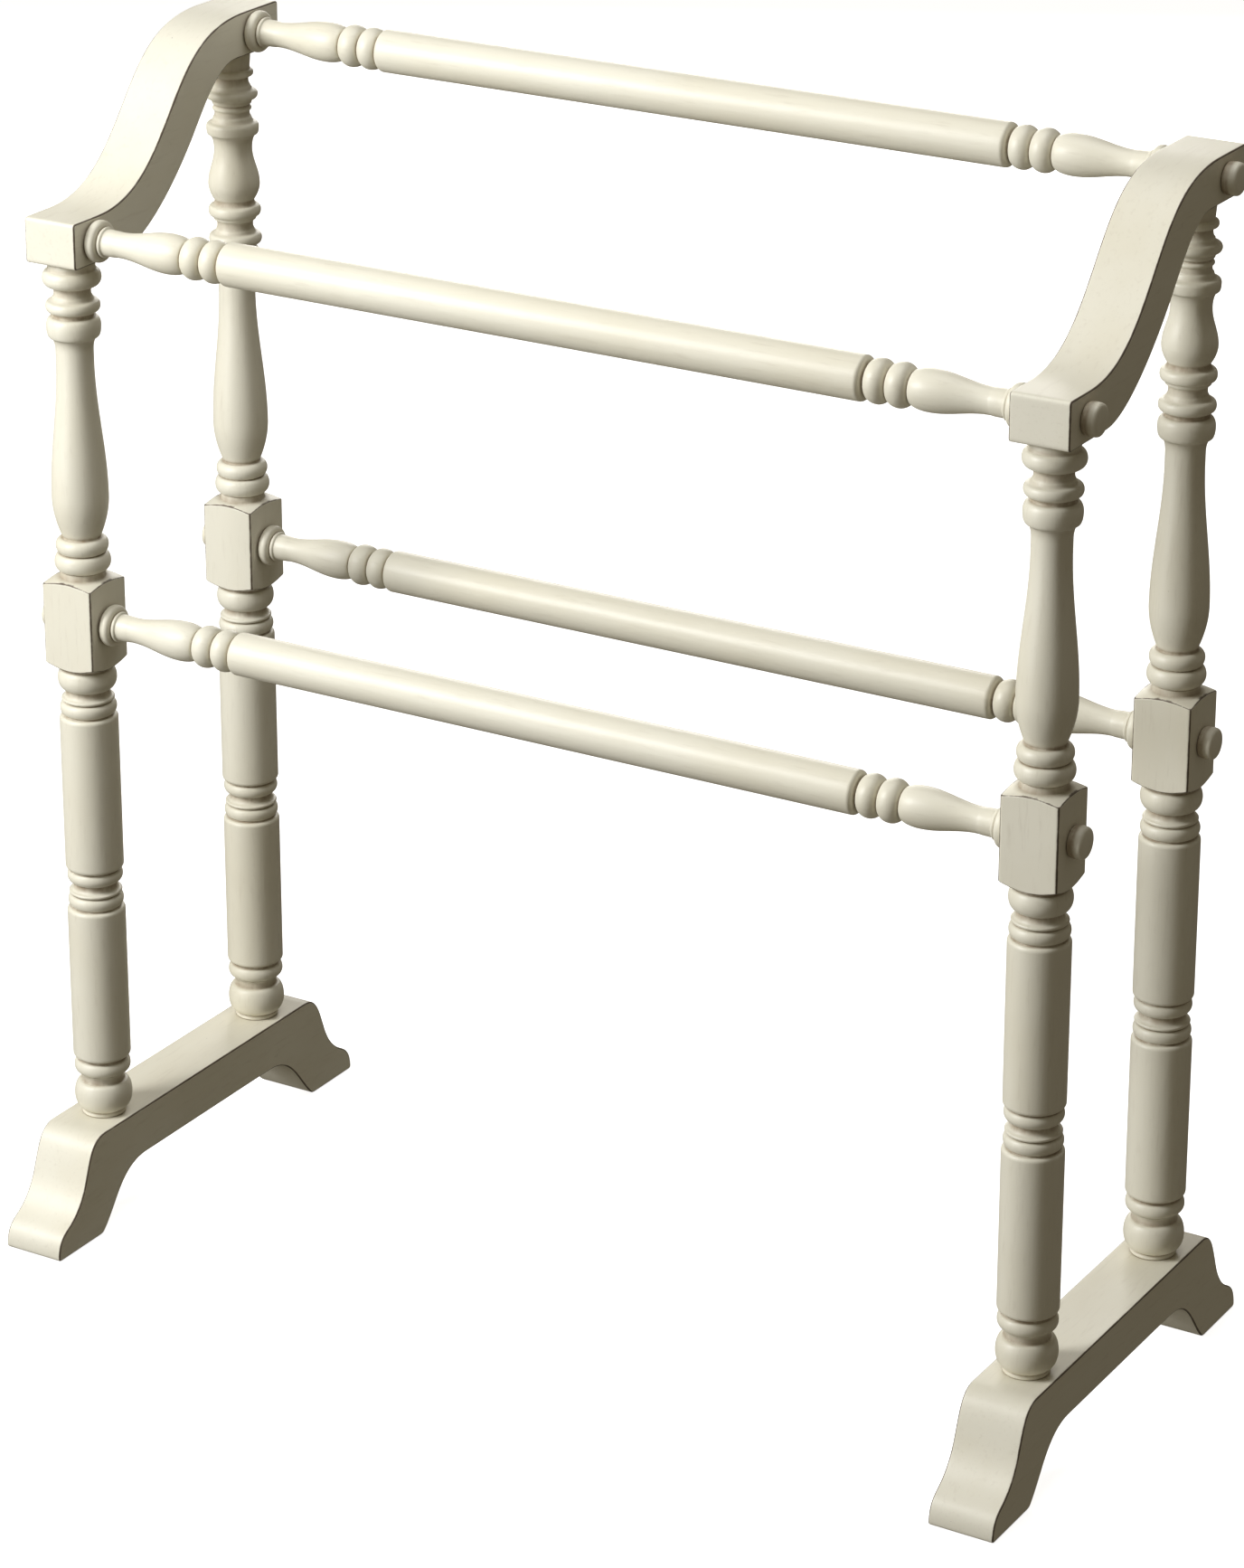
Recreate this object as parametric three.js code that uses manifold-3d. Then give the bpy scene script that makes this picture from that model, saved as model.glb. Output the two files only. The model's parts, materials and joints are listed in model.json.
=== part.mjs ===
// A free-standing drying and display rack for quilts, in painted turned wood.
// Two side frames (foot, front post, taller back post, S-shaped arm) carry four turned rails.
// Millimetres, +Z up, front = -Y, origin on the floor under the middle of the rack.
import * as THREE from "three";
import { mergeVertices } from "three/addons/utils/BufferGeometryUtils.js";
import Module from "manifold-3d";

const wasm = await Module();
wasm.setup();

// ---------------------------------------------------------------- driving dimensions
const POST_SPACING_X = 680; // post axis to post axis, left to right
const POST_SPACING_Y = 176; // post axis to post axis, front to back
const STOCK = 38; // square stock of the posts, and width of the arms

const FOOT_LENGTH = 340; // toe to toe
const FOOT_WIDTH = 43;
const FOOT_TOP = 71;
const FOOT_THICKNESS = 32.5; // of the bridge between the two toe pads
const TOE_PAD = 48; // length of each pad that stands on the floor

const LOWER_RAIL_Z = 417;
const BLOCK_EDGE = 52.6; // upright corners of the square block that takes the lower rail

const ARM_FRONT_BOTTOM = 656;
const ARM_FRONT_HEIGHT = 29.5;
const ARM_BACK_BOTTOM = 752;
const ARM_BACK_HEIGHT = 28.5;
const ARM_FRONT_OVERHANG = 21; // arm end beyond the post axis
const ARM_BACK_OVERHANG = 27;

const RAIL_RADIUS = 13.7;
const RAIL_SHOULDER = 99; // from the rail's end to its plain barrel

const CAP_RADIUS = 10;
const CAP_HEIGHT = 9;
const CAP_STEM_RADIUS = 6.8;
const CAP_STEM = 6.5;

const GAP = 0.3; // between pieces that touch
const TENON_RADIUS = 6; // rail ends and post tops
const RAIL_TENON = 8;
const FOOT_TENON_RADIUS = 8;
const FOOT_TENON = 15;
const SCREW_RADIUS = 2.2;
const SCREW_HEAD_RADIUS = 4.6;
const SCREW_HEAD = 3.6;
const RAIL_SCREW_LENGTH = 50;
const FOOT_SCREW_LENGTH = 40;
const COUNTERBORE = 12; // depth of the hole that hides a rail screw under its cap
const HOLE_WALL = 2; // least wood between two holes

const SEGMENTS = 12; // facets round a turned piece
const HOLE_SEGMENTS = 12;

// ---------------------------------------------------------------- sizes that follow
const POST_X = POST_SPACING_X / 2;
const POST_Y = POST_SPACING_Y / 2;
const HALF_STOCK = STOCK / 2;
const INNER_FACE_X = POST_X - HALF_STOCK; // faces that the rails meet
const FRONT_RAIL_Z = ARM_FRONT_BOTTOM + ARM_FRONT_HEIGHT / 2;
const BACK_RAIL_Z = ARM_BACK_BOTTOM + ARM_BACK_HEIGHT / 2;
const SCREW_HOLE = SCREW_RADIUS + GAP;
const UP = new THREE.Vector3(0, 0, 1);

// ---------------------------------------------------------------- materials
const CREAM_PAINT = new THREE.MeshStandardMaterial({
  name: "cream_paint",
  color: 0xe6e0cb,
  roughness: 0.45,
  metalness: 0,
});
const SCREW_STEEL = new THREE.MeshStandardMaterial({
  name: "screw_steel",
  color: 0xa9a9a6,
  roughness: 0.35,
  metalness: 1,
});

// ---------------------------------------------------------------- booleans
// A closed three.js geometry as a manifold-3d solid.
function toSolid(geometry) {
  const bare = geometry.index ? geometry.toNonIndexed() : geometry.clone();
  bare.deleteAttribute("normal");
  bare.deleteAttribute("uv");
  const merged = mergeVertices(bare, 1e-4);
  return new wasm.Manifold(
    new wasm.Mesh({
      numProp: 3,
      vertProperties: merged.attributes.position.array,
      triVerts: new Uint32Array(merged.index.array),
    }),
  );
}

// A manifold-3d solid as a three.js geometry.
function toGeometry(solid) {
  const { vertProperties, triVerts } = solid.getMesh();
  const geometry = new THREE.BufferGeometry();
  geometry.setAttribute("position", new THREE.BufferAttribute(vertProperties, 3));
  geometry.setIndex(new THREE.BufferAttribute(triVerts, 1));
  geometry.computeVertexNormals();
  return geometry;
}

// A round bar from one point along a direction: a hole's cutter, or a pin.
function roundBar(from, direction, length, radius) {
  const bar = new THREE.CylinderGeometry(radius, radius, length, HOLE_SEGMENTS);
  bar.translate(0, length / 2, 0);
  const turn = new THREE.Quaternion().setFromUnitVectors(
    new THREE.Vector3(0, 1, 0),
    direction,
  );
  bar.applyQuaternion(turn);
  bar.translate(from.x, from.y, from.z);
  return toSolid(bar);
}

function mesh(name, geometry, material) {
  const made = new THREE.Mesh(geometry, material);
  made.name = name;
  return made;
}

// ---------------------------------------------------------------- turning
// The path of a lathe tool along a spindle: radius against height, built up cut by cut.
class TurnedProfile {
  constructor(radius, height) {
    this.points = [new THREE.Vector2(0, height), new THREE.Vector2(radius, height)];
  }
  get tip() {
    return this.points[this.points.length - 1];
  }
  get height() {
    return this.tip.y;
  }
  // Straight to a radius.
  to(length, radius) {
    this.points.push(new THREE.Vector2(radius, this.height + length));
    return this;
  }
  // A quarter round that leaves square to the spindle and arrives along it, or the other way.
  quarter(length, radius, squareFirst, steps) {
    const { x, y } = this.tip;
    for (let i = 1; i <= steps; i++) {
      const angle = ((i / steps) * Math.PI) / 2;
      const across = squareFirst ? Math.sin(angle) : 1 - Math.cos(angle);
      const along = squareFirst ? 1 - Math.cos(angle) : Math.sin(angle);
      this.points.push(new THREE.Vector2(x + (radius - x) * across, y + length * along));
    }
    return this;
  }
  // A bead (peak outside its ends) or a cove (peak inside them).
  round(length, peak, end, steps = 1) {
    this.quarter(length / 2, peak, true, steps);
    return this.quarter(length / 2, end, false, steps);
  }
  // A long S-shaped sweep to a radius, as on the side of a vase.
  sweep(length, radius, steps = 4) {
    const { x, y } = this.tip;
    for (let i = 1; i <= steps; i++) {
      const share = (1 - Math.cos((i / steps) * Math.PI)) / 2;
      this.points.push(new THREE.Vector2(x + (radius - x) * share, y + (length * i) / steps));
    }
    return this;
  }
  // The rounded bottom of a vase: it widens fast and then runs along the spindle.
  swell(length, radius, steps = 3) {
    const { x, y } = this.tip;
    for (let i = 1; i <= steps; i++) {
      const across = Math.sin(((i / steps) * Math.PI) / 2);
      this.points.push(new THREE.Vector2(x + (radius - x) * across, y + (length * i) / steps));
    }
    return this;
  }
  // A plain cylinder with softened shoulders, down to the groove beside it.
  barrel(length, radius, shoulder, groove) {
    this.quarter(shoulder, radius, true, 1);
    this.to(length - 2 * shoulder, radius);
    return this.quarter(shoulder, groove, false, 1);
  }
  solid() {
    const closed = [...this.points, new THREE.Vector2(0, this.height)];
    const lathe = new THREE.LatheGeometry(closed, SEGMENTS);
    lathe.rotateX(Math.PI / 2);
    return toSolid(lathe);
  }
}

// ---------------------------------------------------------------- posts
// Radii of the cuts, all measured from the square stock.
const GROOVE = HALF_STOCK - 2.6; // V grooves beside the barrels
const NECK = HALF_STOCK - 5; // short necks between beads
const SLIM_NECK = HALF_STOCK - 7; // waists of the two vases
const BEAD = HALF_STOCK - 1;
const SMALL_BEAD = HALF_STOCK - 1.9;
const BALL = HALF_STOCK - 0.1;
const CORNER = HALF_STOCK * Math.SQRT2; // of the square stock
const SHOULDER = 2; // softened end of a barrel

// Lengths of the groups of cuts, from the foot upwards.
const BASE_TURNING = 40.5; // ring, ball, neck and bead above the foot
const MIDDLE_TURNING = 27; // two beads and a neck between the barrels
const UNDER_BLOCK = 34; // bead, neck and ball under the block
const POMMEL_BOTTOM = 3.8; // cones that cut the block's ends to curved corners
const POMMEL_TOP = 2.6;
const OVER_BLOCK = 28; // two rings over the block
const VASE_SWELL = 27; // rounded bottom of the tall vase
const VASE_FLARE = 16; // from the tall vase's waist to the beads above it
const FRONT_TOP = 50; // two beads and a collar under the front of the arm
const SMALL_VASE = 43;

const BLOCK_BOTTOM = LOWER_RAIL_Z - BLOCK_EDGE / 2 - POMMEL_BOTTOM;
const BLOCK_TOP = LOWER_RAIL_Z + BLOCK_EDGE / 2 + POMMEL_TOP;

// The ring, ball, neck and bead that stand on the foot.
function turnBase(turned) {
  turned.to(3, NECK + 0.4).round(19.6, BALL, NECK + 1, 2).to(3, NECK);
  turned.to(3.2, GROOVE - 1).round(BASE_TURNING - 30, BEAD, GROOVE).to(1.2, GROOVE);
}

// A barrel, and the bead and lip that end it.
function turnBarrel(turned, length) {
  turned.barrel(length, BALL, SHOULDER, GROOVE);
  turned.to(1, GROOVE).round(8.4, BEAD, NECK + 2).to(3, GROOVE - 1).to(4, NECK);
}

// The square block: the lathe only cuts a cone at each end, and the stock leaves it square.
function turnBlock(turned) {
  const clear = STOCK; // a radius beyond the block's corners
  turned.to(BLOCK_BOTTOM - turned.height, HALF_STOCK - 0.2).to(POMMEL_BOTTOM, CORNER);
  turned.to(0.3, clear).to(BLOCK_EDGE - 0.6, clear).to(0.3, CORNER);
  turned.to(POMMEL_TOP, HALF_STOCK - 0.2).to(1.4, NECK + 0.6);
}

// Two rings, the tall vase, and the two beads under the front arm's height.
function turnVase(turned) {
  const top = ARM_FRONT_BOTTOM - FRONT_TOP;
  turned.to(3.9, NECK + 0.4).round(11.6, BEAD - 0.3, NECK + 0.4).round(9.6, SMALL_BEAD, NECK - 1.6);
  turned.to(BLOCK_TOP + OVER_BLOCK - turned.height, NECK - 1.8).swell(VASE_SWELL, BEAD + 0.1);
  turned.sweep(top - VASE_FLARE - turned.height, SLIM_NECK, 4).to(VASE_FLARE - 9, SLIM_NECK);
  turned.quarter(9, NECK + 1.4, false, 2).quarter(7, BEAD - 0.7, true, 1);
  turned.quarter(6.4, NECK + 0.4, false, 1).to(0.8, NECK).round(12, BEAD - 0.8, NECK - 0.6);
  turned.to(3, SLIM_NECK - 0.3).to(3.6, NECK - 1);
}

// The small vase and its three rings, which only the tall back posts have.
function turnBackTop(turned) {
  turned.round(11.6, SMALL_BEAD, NECK - 0.2).to(1.2, NECK - 0.6);
  turned.swell(9, SMALL_BEAD - 0.4, 2).sweep(SMALL_VASE - 17, SLIM_NECK, 3);
  turned.quarter(8, NECK + 0.2, false, 1).round(11.6, SMALL_BEAD, NECK - 0.4);
  turned.to(3.6, SLIM_NECK - 0.6).to(4.8, SLIM_NECK - 0.4).to(0.4, NECK - 0.6);
  turned.round(11.6, SMALL_BEAD - 0.2, NECK - 1).to(5.4, SLIM_NECK - 1).round(7, NECK, SLIM_NECK);
}

function postGeometry(isFront) {
  const bottom = FOOT_TOP + GAP;
  const tenonBottom = FOOT_TOP - FOOT_TENON + GAP;
  const armBottom = isFront ? ARM_FRONT_BOTTOM : ARM_BACK_BOTTOM;
  const railZ = isFront ? FRONT_RAIL_Z : BACK_RAIL_Z;
  const tenonTop = railZ - SCREW_HOLE - HOLE_WALL - GAP;
  const barrels = BLOCK_BOTTOM - UNDER_BLOCK - bottom - BASE_TURNING - MIDDLE_TURNING;

  const turned = new TurnedProfile(FOOT_TENON_RADIUS, tenonBottom);
  turned.to(FOOT_TENON, FOOT_TENON_RADIUS).to(0, NECK + 0.6);
  turnBase(turned);
  turnBarrel(turned, barrels / 2);
  turned.round(MIDDLE_TURNING - 17.6, BEAD, GROOVE).to(1.2, GROOVE);
  turnBarrel(turned, barrels / 2);
  turned.round(14, BALL, NECK + 1.8, 2);
  turnBlock(turned);
  turnVase(turned);
  if (isFront) {
    turned.round(10.6, BEAD + 0.6, NECK + 1.4, 2);
  } else {
    turnBackTop(turned);
  }
  turned.to(armBottom - GAP - turned.height, NECK);
  turned.to(0, TENON_RADIUS).to(tenonTop - turned.height, TENON_RADIUS);

  // The square stock that the post is turned from leaves the block square.
  const length = tenonTop - tenonBottom;
  const stock = new THREE.BoxGeometry(STOCK, STOCK, length + 2);
  stock.translate(0, 0, tenonBottom + length / 2);
  const pilot = roundBar(
    new THREE.Vector3(0, 0, tenonBottom - 1),
    UP,
    FOOT_SCREW_LENGTH - footWeb() + 1,
    SCREW_HOLE,
  );
  return turned.solid().intersect(toSolid(stock)).subtract(pilot).subtract(railHoles(LOWER_RAIL_Z, 0));
}

// Wood left in the foot between a screw's head and the post's mortise.
function footWeb() {
  return FOOT_THICKNESS - FOOT_TENON - FOOT_COUNTERBORE;
}

// The holes of one rail end, for a right-hand piece whose middle is at x = 0:
// the rail's socket in the inner face, the screw's hole, and the counterbore under the cap.
function railHoles(z, y) {
  const outward = new THREE.Vector3(1, 0, 0);
  const socket = roundBar(
    new THREE.Vector3(-HALF_STOCK - 1, y, z),
    outward,
    RAIL_TENON + 1 + GAP,
    TENON_RADIUS + GAP,
  );
  const through = roundBar(new THREE.Vector3(-HALF_STOCK - 1, y, z), outward, STOCK + 2, SCREW_HOLE);
  const counterbore = roundBar(
    new THREE.Vector3(HALF_STOCK - COUNTERBORE, y, z),
    outward,
    COUNTERBORE + 1,
    CAP_STEM_RADIUS + GAP,
  );
  return socket.add(through).add(counterbore);
}

// ---------------------------------------------------------------- feet
const FOOT_COUNTERBORE = 7; // depth of a foot screw's head hole, from the bridge's underside
const TOE_RISE = 20; // height of the toe under the hollow of the foot's end
const TOE_REACH = 54; // from the toe's tip back to the end of the flat top

// One half of the outline seen from the side, drawn from the middle of the top to the floor.
function footShape() {
  const tip = FOOT_LENGTH / 2;
  const under = FOOT_TOP - FOOT_THICKNESS;
  const padInner = tip - TOE_PAD;
  const shoulder = tip - TOE_REACH;
  const waistY = tip - 32;
  const waistZ = (FOOT_TOP + TOE_RISE) / 2;
  const half = new THREE.Shape();
  half.moveTo(0, FOOT_TOP);
  half.lineTo(shoulder, FOOT_TOP);
  half.bezierCurveTo(shoulder + 14, FOOT_TOP, waistY - 5, waistZ + 13, waistY, waistZ);
  half.bezierCurveTo(waistY + 4, waistZ - 12, tip - 21, TOE_RISE + 5, tip - 12, TOE_RISE);
  half.bezierCurveTo(tip - 4, TOE_RISE - 4, tip, TOE_RISE * 0.6, tip, 0);
  half.lineTo(padInner, 0);
  half.bezierCurveTo(padInner - 16, 14, padInner - 22, under, padInner - 50, under);
  half.lineTo(0, under);
  const side = half.getPoints(5);
  const mirrored = side.map((p) => new THREE.Vector2(-p.x, p.y)).reverse();
  return new THREE.Shape([...side, ...mirrored.slice(1, -1)]);
}

// An outline in the Y-Z plane as a board of a given width across X, centred on x = 0.
function board(shape, width) {
  const flat = new THREE.ExtrudeGeometry(shape, { depth: width, bevelEnabled: false, curveSegments: 6 });
  flat.translate(0, 0, -width / 2);
  const basis = new THREE.Matrix4().makeBasis(
    new THREE.Vector3(0, 1, 0),
    new THREE.Vector3(0, 0, 1),
    new THREE.Vector3(1, 0, 0),
  );
  flat.applyMatrix4(basis);
  return toSolid(flat);
}

function footGeometry() {
  let foot = board(footShape(), FOOT_WIDTH);
  const under = FOOT_TOP - FOOT_THICKNESS;
  for (const y of [-POST_Y, POST_Y]) {
    const mortiseBottom = new THREE.Vector3(0, y, FOOT_TOP - FOOT_TENON);
    const below = new THREE.Vector3(0, y, 0);
    foot = foot.subtract(roundBar(mortiseBottom, UP, FOOT_TENON + 1, FOOT_TENON_RADIUS + GAP));
    foot = foot.subtract(roundBar(below, UP, FOOT_TOP, SCREW_HOLE));
    foot = foot.subtract(roundBar(below, UP, under + FOOT_COUNTERBORE, SCREW_HEAD_RADIUS + 2 * GAP));
  }
  return foot;
}

// ---------------------------------------------------------------- arms
const ARM_THICKNESS = 32; // across the sloping middle of the S

// The S-shaped side of an arm: flat over the front post, rising to a flat over the back post.
function armShape() {
  const front = -POST_Y - ARM_FRONT_OVERHANG;
  const back = POST_Y + ARM_BACK_OVERHANG;
  const frontTop = ARM_FRONT_BOTTOM + ARM_FRONT_HEIGHT;
  const backTop = ARM_BACK_BOTTOM + ARM_BACK_HEIGHT;
  const slope = new THREE.Vector2(0.62, 0.785); // direction of the middle of the S
  const middle = new THREE.Vector2(-4, (frontTop + backTop) / 2 + 2);
  const under = new THREE.Vector2(
    middle.x + slope.y * ARM_THICKNESS,
    middle.y - slope.x * ARM_THICKNESS,
  );
  const reach = 34; // length of the straight run that the curves leave along
  const shape = new THREE.Shape();
  shape.moveTo(front, ARM_FRONT_BOTTOM);
  shape.lineTo(-POST_Y + 28, ARM_FRONT_BOTTOM);
  shape.bezierCurveTo(
    -POST_Y + 54,
    ARM_FRONT_BOTTOM + 1,
    under.x - slope.x * reach,
    under.y - slope.y * reach,
    under.x,
    under.y,
  );
  shape.bezierCurveTo(
    under.x + slope.x * 26,
    under.y + slope.y * 26,
    POST_Y - 38,
    ARM_BACK_BOTTOM,
    POST_Y - 20,
    ARM_BACK_BOTTOM,
  );
  shape.lineTo(back, ARM_BACK_BOTTOM);
  shape.lineTo(back, backTop);
  shape.lineTo(POST_Y - 8, backTop);
  shape.bezierCurveTo(
    POST_Y - 54,
    backTop,
    middle.x + slope.x * reach,
    middle.y + slope.y * reach,
    middle.x,
    middle.y,
  );
  shape.bezierCurveTo(
    middle.x - slope.x * reach,
    middle.y - slope.y * reach,
    -POST_Y / 2,
    frontTop,
    -POST_Y + 4,
    frontTop,
  );
  shape.lineTo(front, frontTop);
  return shape;
}

function armGeometry() {
  let arm = board(armShape(), STOCK);
  const posts = [
    { y: -POST_Y, bottom: ARM_FRONT_BOTTOM, railZ: FRONT_RAIL_Z },
    { y: POST_Y, bottom: ARM_BACK_BOTTOM, railZ: BACK_RAIL_Z },
  ];
  for (const { y, bottom, railZ } of posts) {
    const mortiseTop = railZ - SCREW_HOLE - HOLE_WALL;
    const mouth = new THREE.Vector3(0, y, bottom - 1);
    arm = arm.subtract(roundBar(mouth, UP, mortiseTop - bottom + 1, TENON_RADIUS + GAP));
    arm = arm.subtract(railHoles(railZ, y));
  }
  return arm;
}

// ---------------------------------------------------------------- rails
function railGeometry() {
  const half = INNER_FACE_X - GAP;
  const pilot = RAIL_SCREW_LENGTH - STOCK + COUNTERBORE + RAIL_TENON + 4; // past the screw's point
  const turned = new TurnedProfile(TENON_RADIUS, -half - RAIL_TENON + GAP);
  turned.to(RAIL_TENON - GAP, TENON_RADIUS).to(0, RAIL_RADIUS - 3);
  const ends = () => {
    // collar, concave neck and bulb, then three grooves with two beads between them
    turned.round(8, RAIL_RADIUS - 0.3, RAIL_RADIUS - 3.5, 2).to(1, RAIL_RADIUS - 4.2);
    turned.to(2.5, RAIL_RADIUS - 4.4).sweep(9, RAIL_RADIUS - 5.5, 2);
    turned.sweep(38, RAIL_RADIUS - 1, 4).quarter(12, RAIL_RADIUS - 4.6, false, 2);
    turned.round(14.5, RAIL_RADIUS - 0.8, RAIL_RADIUS - 3.6);
    turned.round(RAIL_SHOULDER - 85, RAIL_RADIUS - 0.8, RAIL_RADIUS - 3.4);
  };
  ends();
  turned.quarter(3, RAIL_RADIUS, true, 1);
  const firstEnd = turned.points.slice(4);
  turned.to(2 * (half - RAIL_SHOULDER - 3), RAIL_RADIUS);
  for (const p of firstEnd.reverse().slice(1)) {
    turned.points.push(new THREE.Vector2(p.x, -p.y));
  }
  turned.to(0, RAIL_RADIUS - 3).to(0, TENON_RADIUS).to(RAIL_TENON - GAP, TENON_RADIUS);
  let rail = turned.solid();
  for (const side of [-1, 1]) {
    const start = new THREE.Vector3(0, 0, side * (half + RAIL_TENON + 1));
    const inward = new THREE.Vector3(0, 0, -side);
    rail = rail.subtract(roundBar(start, inward, pilot, SCREW_HOLE));
  }
  const geometry = toGeometry(rail);
  geometry.rotateY(Math.PI / 2);
  return geometry;
}

// ---------------------------------------------------------------- caps and screws
// A button cap, its face towards +X and its seat on the plane x = 0.
function capGeometry() {
  const turned = new TurnedProfile(CAP_STEM_RADIUS - 0.6, -CAP_STEM);
  turned.to(0.8, CAP_STEM_RADIUS).to(CAP_STEM - 0.8 + GAP, CAP_STEM_RADIUS).to(0, CAP_RADIUS);
  turned.to(CAP_HEIGHT - 1.6, CAP_RADIUS).quarter(1.6, CAP_RADIUS - 1.6, false, 2);
  const geometry = toGeometry(turned.solid());
  geometry.rotateY(Math.PI / 2);
  return geometry;
}

// A wood screw with a countersunk-style head, its point towards +Z and its head under z = 0.
function screwGeometry(length) {
  const turned = new TurnedProfile(SCREW_HEAD_RADIUS, -SCREW_HEAD);
  turned.to(1, SCREW_HEAD_RADIUS).to(SCREW_HEAD - 1, SCREW_HEAD_RADIUS * 0.8);
  turned.to(0, SCREW_RADIUS).to(length - 6, SCREW_RADIUS).to(6, 0.4);
  return toGeometry(turned.solid());
}

// ---------------------------------------------------------------- assembly
const SIDES = [
  { side: "left", sign: -1 },
  { side: "right", sign: 1 },
];
const RAILS = [
  { name: "upper_front", y: -POST_Y, z: FRONT_RAIL_Z },
  { name: "upper_back", y: POST_Y, z: BACK_RAIL_Z },
  { name: "lower_front", y: -POST_Y, z: LOWER_RAIL_Z },
  { name: "lower_back", y: POST_Y, z: LOWER_RAIL_Z },
];

const rack = new THREE.Group();
rack.name = "quilt_rack";

const frontPost = toGeometry(postGeometry(true));
const backPost = toGeometry(postGeometry(false));
const foot = toGeometry(footGeometry());
const arm = toGeometry(armGeometry());
const cap = capGeometry();
const railScrew = screwGeometry(RAIL_SCREW_LENGTH);
const footScrew = screwGeometry(FOOT_SCREW_LENGTH);
const rail = railGeometry();

for (const { side, sign } of SIDES) {
  // Every side piece is made for the right and turned half round for the left.
  const frame = new THREE.Group();
  frame.position.x = sign * POST_X;
  const facing = sign > 0 ? 0 : Math.PI;
  const place = (name, geometry, material, x, y, z) => {
    const piece = mesh(name, geometry, material);
    piece.position.set(x, y, z);
    frame.add(piece);
    return piece;
  };
  place(side + "_foot", foot, CREAM_PAINT, 0, 0, 0);
  place(side + "_front_post", frontPost, CREAM_PAINT, 0, -POST_Y, 0).rotation.z = facing;
  place(side + "_back_post", backPost, CREAM_PAINT, 0, POST_Y, 0).rotation.z = facing;
  const sideArm = place(side + "_arm", arm, CREAM_PAINT, 0, 0, 0);
  sideArm.scale.x = sign; // the left arm is the right arm's mirror image
  for (const { name, y, z } of RAILS) {
    const buttonX = sign * (HALF_STOCK + GAP);
    place(side + "_" + name + "_cap", cap, CREAM_PAINT, buttonX, y, z).rotation.z = facing;
    const headX = sign * (HALF_STOCK - COUNTERBORE + GAP);
    const screw = place(side + "_" + name + "_screw", railScrew, SCREW_STEEL, headX, y, z);
    screw.rotation.y = (-sign * Math.PI) / 2;
  }
  for (const [end, y] of [["front", -POST_Y], ["back", POST_Y]]) {
    const headZ = FOOT_TOP - FOOT_THICKNESS + FOOT_COUNTERBORE - GAP;
    place(side + "_" + end + "_foot_screw", footScrew, SCREW_STEEL, 0, y, headZ);
  }
  rack.add(frame);
}
for (const { name, y, z } of RAILS) {
  const bar = mesh(name + "_rail", rail, CREAM_PAINT);
  bar.position.set(0, y, z);
  rack.add(bar);
}

export default rack;
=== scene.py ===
# %% [markdown]
# # A turned quilt rack in antique white paint
# This lesson rebuilds a free-standing rack for quilts. Two side frames, each made of a sawn foot, two
# turned posts and an S-shaped arm, carry four turned rails. The pieces are already placed by a CAD model,
# so the lesson only gives each one its fine shape and its finish. Everything is in metres, with +Z up and
# the low front of the rack towards -Y.

# %% Load the frame
import json
import math

import bpy
import numpy as np
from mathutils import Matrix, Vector


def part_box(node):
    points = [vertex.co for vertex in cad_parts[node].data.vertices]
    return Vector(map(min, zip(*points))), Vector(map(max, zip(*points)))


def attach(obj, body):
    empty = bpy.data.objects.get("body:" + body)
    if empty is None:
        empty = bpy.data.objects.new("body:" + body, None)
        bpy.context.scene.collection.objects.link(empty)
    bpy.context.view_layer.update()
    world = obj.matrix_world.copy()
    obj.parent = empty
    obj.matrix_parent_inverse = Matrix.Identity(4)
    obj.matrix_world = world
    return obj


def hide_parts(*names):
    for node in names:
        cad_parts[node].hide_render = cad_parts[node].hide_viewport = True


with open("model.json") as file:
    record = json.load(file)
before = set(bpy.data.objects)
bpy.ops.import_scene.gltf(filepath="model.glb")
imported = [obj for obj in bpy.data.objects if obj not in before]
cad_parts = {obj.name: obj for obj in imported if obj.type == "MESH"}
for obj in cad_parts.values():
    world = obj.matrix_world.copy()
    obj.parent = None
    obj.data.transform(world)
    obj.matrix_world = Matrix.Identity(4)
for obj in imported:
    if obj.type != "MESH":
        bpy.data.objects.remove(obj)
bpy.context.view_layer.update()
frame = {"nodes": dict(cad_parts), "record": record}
MM = 0.001

# %% [markdown]
# ## Camera
# A long lens keeps the posts almost parallel. The camera stands to the right of the rack, turned a little
# over 30 degrees and looking down about 20. A small shift of the lens centres the rack without tilting the
# view. The camera is made first, so that every later piece can be judged in the final view.

# %% Make the camera
CAMERA_PLACE = (1.490, -2.474, 1.539)
CAMERA_TURN = math.radians(30.95)  # to the right of the rack's front
CAMERA_DOWN = math.radians(20.14)  # below the horizon
LENS_MM = 114.9
SENSOR_MM = 36.0
SHIFT_Y = -0.13


def make_camera():
    data = bpy.data.cameras.new("camera")
    data.lens = LENS_MM
    data.sensor_width = SENSOR_MM
    data.shift_y = SHIFT_Y
    camera = bpy.data.objects.new("camera", data)
    camera.location = CAMERA_PLACE
    camera.rotation_euler = (math.pi / 2 - CAMERA_DOWN, 0.0, CAMERA_TURN)
    bpy.context.scene.collection.objects.link(camera)
    bpy.context.scene.camera = camera
    return camera


camera = make_camera()
print("camera at", tuple(round(v, 3) for v in camera.location))

# %% [markdown]
# ## Where things are
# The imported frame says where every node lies. The axes of the posts and rails are read from the nodes'
# boxes, so the lathe work below lands on the CAD work without any fitting.

# %% Read the places of posts and rails
def middle(node):
    low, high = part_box(node)
    return (low + high) / 2


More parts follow.
